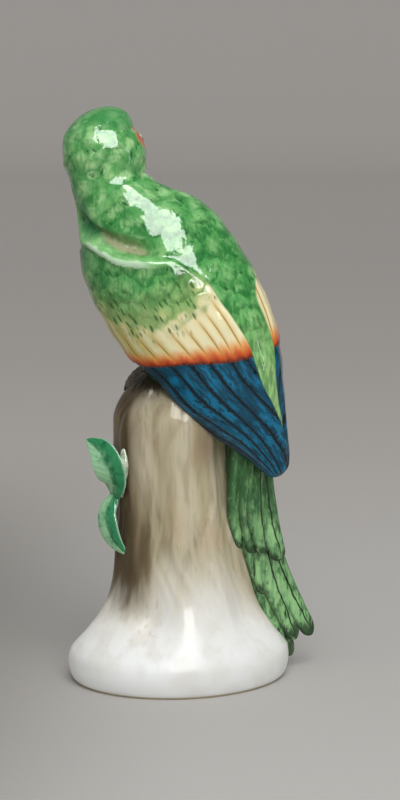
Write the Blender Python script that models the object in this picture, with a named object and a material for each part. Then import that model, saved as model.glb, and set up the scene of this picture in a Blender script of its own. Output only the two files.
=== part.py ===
"""A glazed porcelain parrot perched on a tree stump, cast in one piece.

The origin is the centre of the flat underside. The parrot turns its back to the
side that faces -Y, and its tail hangs down beside the stump at +X.
"""
import math

import bpy
import numpy as np

# Driving sizes, in metres
BASE_WIDTH = 0.0622
BASE_RIM_HEIGHT = 0.0085
STUMP_WIDTH = 0.0325
STUMP_HEIGHT = 0.0875
STUMP_FLUTE_DEPTH = 0.0006
BODY_LENGTH = 0.1170
BODY_WIDTH = 0.0426
BODY_DEPTH = 0.0370
HEAD_WIDTH = 0.0236
HEAD_DEPTH = 0.0250
WING_STEP = 0.0013
WING_GROOVE_DEPTH = 0.0024
WING_GROOVE_WIDTH = 0.0042
WING_LIP_HEIGHT = 0.0007
NAPE_HOLLOW = 0.0034
EYE_WIDTH = 0.0042
BEAK_LENGTH = 0.0074
BEAK_WIDTH = 0.0070
TAIL_TIP_HEIGHT = 0.0035
TAIL_FEATHER_WIDTH = 0.0080
TAIL_FEATHER_THICKNESS = 0.0034
LEAF_LENGTH = 0.0190
LEAF_WIDTH = 0.0098
LEAF_THICKNESS = 0.0020
THIGH_WIDTH = 0.0125
TOE_DROP = 0.0072
TOE_THICKNESS = 0.0028

# Mesh density
BODY_RINGS = 60
BODY_SIDES = 48
STUMP_SIDES = 44
SMALL_RINGS = 10
SMALL_SIDES = 10

# Colour of the whole piece, a mid green glaze
GLAZE = (0.19, 0.40, 0.19, 1.0)


def curve(stations, t):
    """Smooth curve through rows of numbers spaced evenly over 0 to 1, read at t."""
    rows = np.asarray(stations, float)
    if rows.ndim == 1:
        rows = rows[:, None]
    last = len(rows) - 1
    slopes = np.gradient(rows, axis=0)
    x = np.clip(np.atleast_1d(np.asarray(t, float)), 0.0, 1.0) * last
    i = np.minimum(x.astype(int), last - 1)
    f = (x - i)[:, None]
    a, b, da, db = rows[i], rows[i + 1], slopes[i], slopes[i + 1]
    out = (a * (2 * f ** 3 - 3 * f ** 2 + 1) + da * (f ** 3 - 2 * f ** 2 + f)
           + b * (3 * f ** 2 - 2 * f ** 3) + db * (f ** 3 - f ** 2))
    return out[:, 0] if out.shape[1] == 1 else out


def unit(v):
    v = np.asarray(v, float)
    return v / np.linalg.norm(v, axis=-1, keepdims=True)


def smoothstep(low, high, x):
    f = np.clip((x - low) / (high - low), 0.0, 1.0)
    return f * f * (3 - 2 * f)


def skin(name, rings, collection):
    """Closed mesh through rings of points, each end closed by a fan to its middle."""
    count, sides = rings.shape[0], rings.shape[1]
    points = rings.reshape(-1, 3).tolist()
    first, final = len(points), len(points) + 1
    points.append(rings[0].mean(axis=0).tolist())
    points.append(rings[-1].mean(axis=0).tolist())
    faces = []
    for j in range(sides):
        k = (j + 1) % sides
        faces.append((first, k, j))
        for i in range(count - 1):
            faces.append((i * sides + j, i * sides + k, (i + 1) * sides + k, (i + 1) * sides + j))
        faces.append((final, (count - 1) * sides + j, (count - 1) * sides + k))
    mesh = bpy.data.meshes.new(name)
    mesh.from_pydata(points, [], faces)
    mesh.update()
    obj = bpy.data.objects.new(name, mesh)
    collection.objects.link(obj)
    return obj


def frames(path, facing):
    """Along, across and outward directions of a path whose outward side faces one way."""
    along = unit(np.gradient(path, axis=0))
    outward = np.asarray(facing, float) - along * (along @ np.asarray(facing, float))[:, None]
    outward = unit(outward)
    return along, np.cross(outward, along), outward


def blade(path, widths, thicknesses, facing, cup=0.0, sides=SMALL_SIDES, rings=SMALL_RINGS):
    """Rings of a flat tapering shape, such as a feather, leaf or toe.

    cup bends the two edges back from the side that it faces, as a share of the width.
    """
    t = 0.5 - 0.5 * np.cos(np.linspace(0.04, 0.97, rings) * math.pi)
    centre = curve(path, t)
    width = curve(widths, t)
    thickness = curve(thicknesses, t)
    _, across, outward = frames(centre, facing)
    angle = np.linspace(0, 2 * math.pi, sides, endpoint=False)
    u = np.cos(angle)[None, :, None] * width[:, None, None] / 2
    v = np.sin(angle)[None, :, None] * thickness[:, None, None] / 2
    v = v - cup * np.cos(angle)[None, :, None] ** 2 * width[:, None, None] / 2
    return centre[:, None] + across[:, None] * u + outward[:, None] * v


# The stump: a column with a domed top, flaring into a round base
# The column's middle beside the base's, as shares of the stump's width
COLUMN_CENTRE = (-0.074, 0.046)
# Rows of height above the underside as a share of the base's rim height, with the
# radius as a share of the base's half width
FOOT_PROFILE = ((0.0, 0.945), (0.16, 0.976), (0.45, 0.996), (0.75, 0.995), (1.00, 0.975),
                (1.25, 0.925), (1.55, 0.850), (1.85, 0.780))
# Rows of height as a share of the stump's height, with the radius as a share of its width
COLUMN_PROFILE = ((0.215, 0.675), (0.255, 0.630), (0.310, 0.597), (0.370, 0.568), (0.440, 0.543),
                  (0.520, 0.515), (0.600, 0.500), (0.690, 0.497), (0.780, 0.500), (0.850, 0.495),
                  (0.900, 0.440), (0.940, 0.365), (0.970, 0.300), (0.988, 0.240), (0.997, 0.165),
                  (1.0, 0.080))
# The base is a little oval: longer from the near left to the far right
BASE_OVAL = 0.045


def stump_radius(height, angle):
    """Radius of the stump at a height above its underside, in metres."""
    low = np.array([(h * BASE_RIM_HEIGHT, r * BASE_WIDTH / 2) for h, r in FOOT_PROFILE])
    high = np.array([(h * STUMP_HEIGHT, r * STUMP_WIDTH) for h, r in COLUMN_PROFILE])
    rows = curve(np.concatenate([low, high]), np.linspace(0, 1, 400))
    plain = np.interp(height, rows[:, 0], rows[:, 1])
    foot = 1 - smoothstep(0.10, 0.28, height / STUMP_HEIGHT)
    oval = 1 + BASE_OVAL * foot * np.cos(2 * angle - math.pi / 2)
    flute = (np.sin(5 * angle + 1.0) + 0.7 * np.sin(9 * angle + 2.6)) * STUMP_FLUTE_DEPTH
    flute = flute * smoothstep(0.06, 0.22, height / STUMP_HEIGHT)
    return plain * oval + flute * np.clip(6 * (1 - height / STUMP_HEIGHT), 0, 1)


def stump_centre(height):
    share = smoothstep(0.25, 0.72, height / STUMP_HEIGHT)
    return np.array(COLUMN_CENTRE) * share * STUMP_WIDTH


def stump_rings():
    angle = np.linspace(0, 2 * math.pi, STUMP_SIDES, endpoint=False)
    low = [h * BASE_RIM_HEIGHT for h, _ in FOOT_PROFILE]
    high = [h * STUMP_HEIGHT for h, _ in COLUMN_PROFILE]
    rings = []
    for height in low + high:
        radius = stump_radius(height, angle)
        x, y = stump_centre(height)
        rings.append(np.stack([x + radius * np.cos(angle), y + radius * np.sin(angle),
                               np.full(STUMP_SIDES, height)], axis=1))
    return np.array(rings)


def on_stump(height, angle_deg, proud=0.0):
    """A point on the stump's surface, or proud of it by some metres."""
    angle = math.radians(angle_deg)
    x, y = stump_centre(height)
    radius = float(stump_radius(height, np.array([angle]))[0]) + proud
    return np.array([x + radius * math.cos(angle), y + radius * math.sin(angle), height])


# The parrot's centre line from crown to wing tips, as x, y and z shares of its length
# from the point where it stands, which is the middle of the stump's top
BODY_LINE = ((-0.1810, 0.050, 0.6190), (-0.1870, 0.050, 0.5540), (-0.1750, 0.048, 0.4960),
             (-0.1625, 0.040, 0.4260), (-0.1130, 0.026, 0.3580), (-0.0650, 0.012, 0.2800),
             (-0.0200, 0.002, 0.2080), (0.0300, -0.010, 0.1300), (0.0760, -0.024, 0.0570),
             (0.1170, -0.038, -0.0220), (0.1540, -0.044, -0.0900), (0.1890, -0.043, -0.1520),
             (0.2190, -0.039, -0.2080), (0.2400, -0.036, -0.2560))
# Half widths beside that line, as shares of the head's width and then of the body's width
HEAD_SHARES = (0.475, 0.455, 0.495)
BODY_SHARES = (0.2490, 0.4020, 0.4860, 0.5080, 0.5020, 0.4620, 0.3980, 0.3080, 0.2200, 0.1450, 0.075)
# How far from round the sections are: 2 is an ellipse and more is squarer
SQUARENESS = (2.0, 2.0, 2.0, 2.0, 2.1, 2.2, 2.2, 2.3, 2.5, 2.8, 2.8, 2.6, 2.4, 2.2)
CROWN_SHARE = 0.120
TIP_SHARE = 0.030
# The crown leans towards +X: by this share of its height above the brow, which is at this
# share of the length above the point where it stands
CROWN_LEAN = 0.38
BROW_SHARE = 0.553
# Angle of the middle of the back, from the -Y side towards +X
BACK_ANGLE = math.radians(52)


# The folded wings: degrees round from the back to their inner and outer edges, the share
# along the body where the inner corner starts, and how much sooner they start per degree
WING_INNER = 36
WING_OUTER = 137
WING_START = 0.428
WING_SLANT = 0.0016


def hump(x, centre, width):
    """A smooth rise to 1 at a value, with a width on each side of it."""
    return np.exp(-((x - centre) / width) ** 2)


def wing_relief(t, angle):
    """Height of the folded wings' relief above a plain body, below zero in the hollows."""
    turned = angle - BACK_ANGLE - math.radians(9) * smoothstep(0.70, 0.86, t)
    side = np.degrees((turned + math.pi) % (2 * math.pi) - math.pi)
    away = np.abs(side)
    inner = WING_INNER - 14 * smoothstep(0.42, 0.52, t) - 10 * smoothstep(0.70, 0.92, t)
    outer = WING_OUTER - 18 * smoothstep(0.50, 0.62, t)
    start = WING_START - WING_SLANT * (away - WING_INNER)
    across = smoothstep(inner - 5, inner + 5, away) * (1 - smoothstep(outer - 6, outer + 6, away))
    cover = across * smoothstep(start - 0.011, start + 0.011, t)
    bare = (1 - cover) * smoothstep(0.24, 0.33, t)
    # The throat bulges out as far as the wings' front corners, and on the +X side the back
    # runs on to the wing without a step
    fade = 0.40 + 0.22 * smoothstep(132, 155, away)
    throat = smoothstep(98, 116, away) * (1 - smoothstep(0.34, fade, t))
    flush = smoothstep(0, 25, side) * (1 - smoothstep(60, 85, side))
    # In front of each wing's edge is a groove, and the edge itself is a rounded lip
    gap = (t - start) * BODY_LENGTH
    edge = np.where(side < 0, smoothstep(34, 62, away), smoothstep(62, 90, away))
    groove = edge * (1 - smoothstep(103, 120, away)) * (1 - cover)
    groove = groove * hump(gap / WING_GROOVE_WIDTH, -0.55, 0.50)
    lip = edge * across * hump(gap / WING_GROOVE_WIDTH, 0.31, 0.36)
    step = bare * (1 - throat) * (1 - flush)
    return WING_LIP_HEIGHT * lip - WING_GROOVE_DEPTH * groove - WING_STEP * step


def body_point(t, angle, stand):
    """Points on the parrot's body at shares t along it and angles around it."""
    line = curve(BODY_LINE, t) * BODY_LENGTH + stand
    fine_line = curve(BODY_LINE, np.linspace(0, 1, 200)) * BODY_LENGTH + stand
    _, fine_across, fine_outward = frames(fine_line, (0, -1, 0))
    pick = (np.clip(t, 0, 1) * 199).round().astype(int)
    across, outward = fine_across[pick], fine_outward[pick]
    widths = [s * HEAD_WIDTH for s in HEAD_SHARES] + [s * BODY_WIDTH for s in BODY_SHARES]
    depths = [0.5 * HEAD_DEPTH for _ in HEAD_SHARES] + [s * BODY_DEPTH for s in BODY_SHARES]
    half_width, half_depth = curve(widths, t), curve(depths, t)
    cap = np.sqrt(np.clip(1 - np.clip(1 - t / CROWN_SHARE, 0, 1) ** 2, 0, 1))
    cap = cap * np.sqrt(np.clip(1 - np.clip(1 - (1 - t) / TIP_SHARE, 0, 1) ** 2, 0, 1))
    power = curve(SQUARENESS, t)
    c, s = np.cos(angle), np.sin(angle)
    radius = (np.abs(c / half_depth) ** power + np.abs(s / half_width) ** power) ** (-1 / power)
    nape = NAPE_HOLLOW * hump(t, 0.291, 0.037) * smoothstep(0.2, 1.0, s)
    radius = (radius + wing_relief(t, angle) - nape) * cap
    points = line + outward * (radius * c)[:, None] + across * (radius * s)[:, None]
    brow = stand[2] + BROW_SHARE * BODY_LENGTH
    points[:, 0] += CROWN_LEAN * np.clip(points[:, 2] - brow, 0, None)
    return points


def body_rings(stand):
    crown = CROWN_SHARE * (1 - np.cos(np.linspace(0.16, math.pi / 2, 9)))
    # The rings lie closer together at the front edge of the wings
    spread = np.linspace(CROWN_SHARE, 1 - TIP_SHARE, 400)
    weight = np.cumsum(1 + 2.2 * hump(spread, 0.366, 0.03))
    weight = (weight - weight[0]) / (weight[-1] - weight[0])
    middle = np.interp(np.linspace(0, 1, BODY_RINGS - 13), weight, spread)[1:]
    tip = 1 - TIP_SHARE * (1 - np.cos(np.linspace(math.pi / 2, 0.3, 5)))[1:]
    angle = np.linspace(0, 2 * math.pi, BODY_SIDES, endpoint=False)
    side = np.degrees(np.abs((angle - BACK_ANGLE + math.pi) % (2 * math.pi) - math.pi))
    # Rings lean with the front edge of the wings, so that its step runs along one of them
    lean = WING_SLANT * (np.clip(side, WING_INNER, 125) - 65)
    rings = []
    for t in np.concatenate([crown, middle, tip]):
        amount = smoothstep(0.05, 0.36, t) * (1 - smoothstep(0.46, 0.90, t))
        rings.append(body_point(t - lean * amount, angle, stand))
    return np.array(rings)


# The head looks away from the back, a little to +X
FACE = unit((0.25, 0.96, -0.10))
HEAD_SHARE = 0.115
BEAK_HOOK = 0.75


def head_centre(stand):
    return curve(BODY_LINE, HEAD_SHARE)[0] * BODY_LENGTH + stand


def beak_rings(stand):
    reach = HEAD_DEPTH / 2
    start = head_centre(stand) + FACE * (reach - BEAK_LENGTH * 0.35)
    up = np.array([0.0, 0.0, 1.0])
    upper = [start + up * BEAK_LENGTH * 0.10,
             start + FACE * BEAK_LENGTH * 0.46 + up * BEAK_LENGTH * 0.06,
             start + FACE * BEAK_LENGTH * 0.78 - up * BEAK_LENGTH * 0.22,
             start + FACE * BEAK_LENGTH * 0.80 - up * BEAK_LENGTH * BEAK_HOOK]
    lower = [start - up * BEAK_LENGTH * 0.36,
             start + FACE * BEAK_LENGTH * 0.34 - up * BEAK_LENGTH * 0.42,
             start + FACE * BEAK_LENGTH * 0.60 - up * BEAK_LENGTH * 0.60]
    wide = np.array([1.05, 1.00, 0.66, 0.14]) * BEAK_WIDTH
    deep = np.array([0.95, 0.88, 0.62, 0.12]) * BEAK_LENGTH
    small = np.array([0.74, 0.66, 0.26]) * BEAK_WIDTH
    facing = FACE + up
    return (blade(upper, wide, deep, facing), blade(lower, small, small * 0.8, facing))


def eye_place(stand, turn_deg):
    """Middle of an eye on the side of the head, turned from the way that it looks."""
    turn = math.radians(turn_deg)
    way = np.array([FACE[0] * math.cos(turn) - FACE[1] * math.sin(turn),
                    FACE[0] * math.sin(turn) + FACE[1] * math.cos(turn), 0.12])
    way = unit(way)
    reach = 1 / math.hypot(way[0] / (HEAD_WIDTH / 2), way[1] / (HEAD_DEPTH / 2))
    return head_centre(stand) + way * (reach - EYE_WIDTH * 0.25)


# Feathers of the tail, in three layers that end lower and lower. Each row is where one
# ends, as x, y and z shares of the tail's drop from its root, then its bow towards -X,
# its place across the root in feather widths and its lift off the back in thicknesses
TAIL_ROOT_SHARE = 0.80
# The root's place beside the body's line, in feather widths
TAIL_ROOT_SHIFT = (0.06, 0.44, 0.0)
TAIL_FACING = (0.62, -0.78, 0.10)
TAIL_FEATHERS = (
    (-0.040, -0.010, -0.530, 0.015, -0.42, 0.32),
    (0.014, 0.000, -0.553, 0.024, 0.00, 0.45),
    (0.055, 0.000, -0.553, 0.036, 0.38, 0.34),
    (0.120, 0.035, -0.589, 0.042, 0.55, 0.05),
    (0.000, 0.045, -0.723, 0.040, -0.34, 0.02),
    (0.062, 0.050, -0.730, 0.052, 0.15, 0.14),
    (0.168, 0.122, -1.000, 0.072, -0.10, -0.32),
    (0.186, 0.112, -0.930, 0.074, 0.18, -0.18),
    (0.252, 0.150, -0.920, 0.092, 0.42, -0.36),
    (-0.060, 0.030, -0.210, 0.000, -0.45, -0.10),
    (-0.050, 0.070, -0.640, 0.010, -0.42, -0.95),
)


def tail_rings(stand):
    root = curve(BODY_LINE, TAIL_ROOT_SHARE)[0] * BODY_LENGTH + stand
    root = root + np.array(TAIL_ROOT_SHIFT) * TAIL_FEATHER_WIDTH
    drop = root[2] - TAIL_TIP_HEIGHT
    facing = unit(TAIL_FACING)
    beside = unit((-TAIL_FACING[1], TAIL_FACING[0], 0.0))
    out = []
    for x, y, z, bow, place, lift in TAIL_FEATHERS:
        end = np.array([x, y, z]) * drop
        sag = np.array([-bow, -bow * 0.4, 0.0]) * drop
        base = root + facing * lift * TAIL_FEATHER_THICKNESS + beside * place * TAIL_FEATHER_WIDTH
        end = end - (base - root) * np.array([1.0, 1.0, 0.0])
        path = [base, base + end * 0.34 + sag * 0.75, base + end * 0.68 + sag * 0.80, base + end]
        width = np.array([0.90, 0.95, 1.00, 0.42]) * TAIL_FEATHER_WIDTH
        depth = np.array([1.00, 1.00, 0.85, 0.45]) * TAIL_FEATHER_THICKNESS
        out.append(blade(path, width, depth, facing, rings=11))
    return out


# Two leaves on the side of the stump towards -X
LEAF_HEIGHT = 0.0520
LEAF_ANGLE = 203


def leaf_rings():
    joint = on_stump(LEAF_HEIGHT, LEAF_ANGLE, LEAF_THICKNESS * 0.3)
    tip = on_stump(LEAF_HEIGHT + LEAF_LENGTH * 0.80, LEAF_ANGLE - 12, LEAF_LENGTH * 0.38)
    rise = (tip - joint) * 0.5 + np.array([0.08, -0.22, -0.01]) * LEAF_LENGTH
    width = np.array([0.30, 0.82, 1.00, 0.30]) * LEAF_WIDTH
    depth = np.array([0.9, 1.1, 1.0, 0.5]) * LEAF_THICKNESS
    upper = blade([joint, joint + rise * 0.62, joint + rise * 1.25, tip], width, depth,
                  (-0.55, -0.80, 0.25), cup=-0.16, sides=12, rings=12)
    low_tip = on_stump(LEAF_HEIGHT - LEAF_LENGTH * 0.84, LEAF_ANGLE + 26, LEAF_THICKNESS * 0.35)
    bend = (low_tip - joint) * 0.5 + np.array([-0.16, -0.03, 0.0]) * LEAF_LENGTH
    low_width = np.array([0.24, 0.74, 0.70, 0.08]) * LEAF_WIDTH
    lower = blade([joint + np.array([0.0, 0.0, 0.08]) * LEAF_LENGTH, joint + bend * 0.62,
                   joint + bend * 1.30, low_tip], low_width, depth,
                  (-0.62, -0.75, -0.15), cup=-0.12, sides=12, rings=12)
    return upper, lower


# Legs: thighs that come out of the belly, and toes that grip the stump's rim. The feet
# stand on the rim on both sides of the way that the breast faces
BREAST_ANGLE = 130
FOOT_TURN = 25
TOE_FANS = (-14, 0, 14)


def leg_rings():
    thighs, toes = [], []
    for hand in (1, -1):
        heading = BREAST_ANGLE + hand * FOOT_TURN
        foot = on_stump(STUMP_HEIGHT * 0.992, heading)
        back = np.array([-math.cos(math.radians(BREAST_ANGLE)), -math.sin(math.radians(BREAST_ANGLE)), 0.0])
        up = np.array([0.0, 0.0, THIGH_WIDTH])
        path = [foot + up * 1.45 + back * THIGH_WIDTH * 0.55, foot + up * 0.95 + back * THIGH_WIDTH * 0.40,
                foot + up * 0.45 + back * THIGH_WIDTH * 0.12, foot]
        widths = np.array([0.85, 1.00, 0.74, 0.36]) * THIGH_WIDTH
        thighs.append(blade(path, widths, widths, -back, sides=12))
        for fan in TOE_FANS:
            proud = TOE_THICKNESS * 0.12
            angle = heading + fan
            path = [on_stump(STUMP_HEIGHT * 0.990, heading + 0.9 * fan, -TOE_THICKNESS * 0.5),
                    on_stump(STUMP_HEIGHT - TOE_DROP * 0.22, heading + 0.8 * fan, proud),
                    on_stump(STUMP_HEIGHT - TOE_DROP * 0.62, angle, proud),
                    on_stump(STUMP_HEIGHT - TOE_DROP, angle, -proud * 0.5)]
            widths = np.array([1.0, 0.95, 0.85, 0.32]) * TOE_THICKNESS
            facing = np.array([0.0, 0.0, 0.7]) - back * 0.7
            toes.append(blade(path, widths, widths, facing, sides=8, rings=8))
    return thighs, toes


def ball(name, place, width, collection):
    bpy.ops.mesh.primitive_uv_sphere_add(segments=12, ring_count=8, radius=width / 2, location=place)
    obj = bpy.context.active_object
    obj.name = name
    for other in list(obj.users_collection):
        other.objects.unlink(obj)
    collection.objects.link(obj)
    return obj


for old in list(bpy.data.objects):
    bpy.data.objects.remove(old, do_unlink=True)

shapes = bpy.data.collections.new("parrot_shapes")
figure = bpy.data.collections.new("parrot")
bpy.context.scene.collection.children.link(shapes)
bpy.context.scene.collection.children.link(figure)

stand_point = np.array([0.0, 0.0, STUMP_HEIGHT])
parrot = skin("parrot_figurine", stump_rings(), figure)
skin("body", body_rings(stand_point), shapes)
for number, rings in enumerate(beak_rings(stand_point)):
    skin(f"beak_{number}", rings, shapes)
for number, turn in enumerate((60, -60)):
    ball(f"eye_{number}", eye_place(stand_point, turn), EYE_WIDTH, shapes)
for number, rings in enumerate(tail_rings(stand_point)):
    skin(f"tail_feather_{number}", rings, shapes)
for number, rings in enumerate(leaf_rings()):
    skin(f"leaf_{number}", rings, shapes)
thigh_shapes, toe_shapes = leg_rings()
for number, rings in enumerate(thigh_shapes):
    skin(f"thigh_{number}", rings, shapes)
for number, rings in enumerate(toe_shapes):
    skin(f"toe_{number}", rings, shapes)

for shape in shapes.objects:
    shape.hide_render = True
    shape.display_type = "WIRE"
join = parrot.modifiers.new("join", "BOOLEAN")
join.operation = "UNION"
join.solver = "EXACT"
join.operand_type = "COLLECTION"
join.collection = shapes
join.use_self = False

glaze = bpy.data.materials.new("green_glaze")
glaze.use_nodes = True
surface = glaze.node_tree.nodes["Principled BSDF"]
surface.inputs["Base Color"].default_value = GLAZE
surface.inputs["Roughness"].default_value = 0.12
surface.inputs["Metallic"].default_value = 0.0
parrot.data.materials.append(glaze)
parrot.data.shade_smooth()
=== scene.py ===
import math

import bpy
import numpy as np
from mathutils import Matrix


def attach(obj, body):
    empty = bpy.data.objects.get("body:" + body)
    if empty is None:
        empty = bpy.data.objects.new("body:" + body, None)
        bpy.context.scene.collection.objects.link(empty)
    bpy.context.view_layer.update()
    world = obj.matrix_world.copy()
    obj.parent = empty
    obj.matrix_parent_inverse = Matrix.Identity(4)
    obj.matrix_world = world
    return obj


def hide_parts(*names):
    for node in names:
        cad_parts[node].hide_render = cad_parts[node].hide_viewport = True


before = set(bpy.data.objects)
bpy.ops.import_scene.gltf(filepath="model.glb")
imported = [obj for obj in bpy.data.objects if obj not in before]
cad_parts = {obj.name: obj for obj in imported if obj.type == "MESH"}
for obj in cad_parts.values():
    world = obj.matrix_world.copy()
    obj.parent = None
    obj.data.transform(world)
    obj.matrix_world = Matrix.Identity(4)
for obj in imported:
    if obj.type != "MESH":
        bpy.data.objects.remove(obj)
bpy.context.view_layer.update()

# Studio. A seamless warm grey paper sweep, one large softbox high in front, and a long
# lens. Two more lamps light nothing and only draw highlights in the glaze.
CAMERA_PLACE = (0.00597, -0.73847, 0.18880)
CAMERA_TILT = math.radians(81.5)


class Wire:
    """One output of a paint's nodes, so that sums of outputs are written as plain sums."""

    def __init__(self, tree, out):
        self.tree = tree
        self.out = out

    def node(self, kind, settings, inputs, output=0):
        made = self.tree.nodes.new(kind)
        for name, value in settings.items():
            setattr(made, name, value)
        for name, value in inputs.items():
            if isinstance(value, Wire):
                self.tree.links.new(value.out, made.inputs[name])
            else:
                made.inputs[name].default_value = value
        return Wire(self.tree, made.outputs[output])

    def maths(self, operation, *values):
        return self.node("ShaderNodeMath", {"operation": operation}, dict(enumerate(values)))

    def __add__(self, other):
        return self.maths("ADD", self, other)

    def __sub__(self, other):
        return self.maths("SUBTRACT", self, other)

    def __mul__(self, other):
        return self.maths("MULTIPLY", self, other)

    def __radd__(self, other):
        return self.maths("ADD", other, self)

    def __rsub__(self, other):
        return self.maths("SUBTRACT", other, self)

    def __rmul__(self, other):
        return self.maths("MULTIPLY", other, self)

    def __abs__(self):
        return self.maths("ABSOLUTE", self)

    def most(self, other):
        return self.maths("MAXIMUM", self, other)

    def step(self, low, high):
        """0 up to low and 1 from high, smooth between. With low above high it falls."""
        settings = {"interpolation_type": "SMOOTHSTEP", "clamp": True}
        if isinstance(low, Wire) or isinstance(high, Wire) or low < high:
            return self.node("ShaderNodeMapRange", settings, {0: self, 1: low, 2: high, 3: 0.0, 4: 1.0})
        return self.node("ShaderNodeMapRange", settings, {0: self, 1: high, 2: low, 3: 1.0, 4: 0.0})

    def near(self, centre, width):
        """1 at a value and 0 a width away from it on both sides."""
        return abs(self - centre).step(width, 0.0)

    def mix(self, other, share):
        """This colour blended towards another by a share."""
        return self.node("ShaderNodeMix", {"data_type": "RGBA"}, {0: share, 6: self, 7: other}, 2)

    def parts(self):
        made = self.node("ShaderNodeSeparateXYZ", {}, {0: self})
        return [Wire(self.tree, out) for out in made.out.node.outputs]

    def colour(self, red, green, blue):
        made = self.node("ShaderNodeRGB", {}, {})
        made.out.default_value = tint(red, green, blue)
        return made

    def vector(self, x, y, z):
        return self.node("ShaderNodeCombineXYZ", {}, {0: x, 1: y, 2: z})

    def stretched(self, x, y, z):
        return self.node("ShaderNodeVectorMath", {"operation": "MULTIPLY"}, {0: self, 1: (x, y, z)})

    def noise(self, size, detail=2.0, roughness=0.5):
        """Soft cloudy values from 0 to 1 whose patches are about a size across."""
        inputs = {"Vector": self, "Scale": 1.0 / size, "Detail": detail, "Roughness": roughness}
        return self.node("ShaderNodeTexNoise", {}, inputs)

    def cells(self, ragged):
        """Distance from the middle of the nearest rounded cell, and the way from there."""
        settings = {"voronoi_dimensions": "3D", "feature": "F1"}
        inputs = {"Vector": self, "Scale": 1.0, "Randomness": ragged}
        gap = self.node("ShaderNodeTexVoronoi", settings, inputs)
        middle = Wire(self.tree, gap.out.node.outputs["Position"])
        return gap, self.node("ShaderNodeVectorMath", {"operation": "SUBTRACT"}, {0: self, 1: middle})

    def dot(self, x, y, z):
        inputs = {0: self, 1: (x, y, z)}
        return self.node("ShaderNodeVectorMath", {"operation": "DOT_PRODUCT"}, inputs, 1)

    def warped(self, size, amount):
        """This place pushed about by soft noise."""
        push = self.node("ShaderNodeTexNoise", {}, {"Vector": self, "Scale": 1.0 / size}, 1)
        push = push.stretched(amount, amount, amount)
        return self.node("ShaderNodeVectorMath", {"operation": "ADD"}, {0: self, 1: push})


def tint(red, green, blue):
    """A paint colour as seen on a screen, 0 to 255, turned into light values."""
    shares = [c / 255 for c in (red, green, blue)]
    return tuple(s / 12.92 if s <= 0.04045 else ((s + 0.055) / 1.055) ** 2.4 for s in shares) + (1.0,)


def new_paint(name):
    """A new material, and the place on the piece in millimetres for its paint to use."""
    made = bpy.data.materials.new(name)
    made.use_nodes = True
    coords = made.node_tree.nodes.new("ShaderNodeTexCoord")
    place = Wire(made.node_tree, coords.outputs["Object"]).stretched(1000, 1000, 1000)
    return made, place


SWEEP_HALF_WIDTH = 4.0
SWEEP_FRONT = -4.0
SWEEP_BEND = 2.2
SWEEP_RADIUS = 0.6
SWEEP_HEIGHT = 3.0
BEND_STEPS = 24
sweep_line = [(SWEEP_FRONT, 0.0), (SWEEP_BEND, 0.0)]
for step in range(1, BEND_STEPS + 1):
    turn = math.pi / 2 * step / BEND_STEPS
    sweep_line.append((SWEEP_BEND + SWEEP_RADIUS * math.sin(turn), SWEEP_RADIUS * (1 - math.cos(turn))))
sweep_line.append((SWEEP_BEND + SWEEP_RADIUS, SWEEP_HEIGHT))
points = [(x, y, z) for y, z in sweep_line for x in (-SWEEP_HALF_WIDTH, SWEEP_HALF_WIDTH)]
faces = [(2 * i, 2 * i + 1, 2 * i + 3, 2 * i + 2) for i in range(len(sweep_line) - 1)]
sweep_mesh = bpy.data.meshes.new("paper_sweep")
sweep_mesh.from_pydata(points, [], faces)
sweep_mesh.update()
sweep_mesh.shade_smooth()
sweep = bpy.data.objects.new("paper_sweep", sweep_mesh)
bpy.context.scene.collection.objects.link(sweep)
paper, place = new_paint("grey_paper")
x, y, z = place.parts()
wall = y.step(60.0, 420.0)
far = y.step(500.0, 2300.0)
colour = place.colour(186, 183, 179).mix(tint(186, 181, 177), wall).mix(tint(203, 198, 194), far)
# Painted shade: the floor is painted darker at the left
painted_floor_shade = x.step(10.0, -110.0) * (1.0 - wall) * y.step(-300.0, -60.0)
colour = colour.mix(tint(128, 123, 118), painted_floor_shade * 0.95)
grain = place.noise(1.4, 3.0)
surface = paper.node_tree.nodes["Principled BSDF"]
paper.node_tree.links.new(colour.mix(tint(120, 118, 115), grain.step(0.5, 0.8) * 0.06).out,
                          surface.inputs["Base Color"])
surface.inputs["Roughness"].default_value = 0.9
surface.inputs["Specular IOR Level"].default_value = 0.1
sweep_mesh.materials.append(paper)

world = bpy.data.worlds.new("studio")
bpy.context.scene.world = world
world.use_nodes = True
backlight = world.node_tree.nodes["Background"]
backlight.inputs["Color"].default_value = (0.98, 1.0, 1.0, 1.0)
ray = world.node_tree.nodes.new("ShaderNodeLightPath")
# The room is dim where the glaze mirrors it, and lights the figure softly from all round
ROOM_LIGHT = 0.56
MIRRORED_DIMMING = -0.50
room = Wire(world.node_tree, ray.outputs["Is Glossy Ray"]) * MIRRORED_DIMMING + ROOM_LIGHT
world.node_tree.links.new(room.out, backlight.inputs["Strength"])


def softbox(name, azimuth, elevation, distance, width, height, radiance):
    """A rectangular light that faces the figure, turned right from the camera's side."""
    data = bpy.data.lights.new(name, "AREA")
    data.shape = "RECTANGLE"
    data.size = width
    data.size_y = height
    data.energy = radiance * math.pi * width * height
    lamp = bpy.data.objects.new(name, data)
    a, e = math.radians(azimuth), math.radians(elevation)
    lamp.location = (distance * math.sin(a) * math.cos(e), -distance * math.cos(a) * math.cos(e),
                     0.08 + distance * math.sin(e))
    lamp.rotation_euler = (math.pi / 2 - e, 0.0, a)
    lamp.visible_camera = False
    bpy.context.scene.collection.objects.link(lamp)
    return lamp


SOFTBOX_TURN = 12
SOFTBOX_RISE = 50
SOFTBOX_SIZE = (0.62, 1.02)
STRIP_SIZE = (0.030, 0.26)
softbox("main_softbox", SOFTBOX_TURN, SOFTBOX_RISE, 0.95, *SOFTBOX_SIZE, 2.9)
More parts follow.
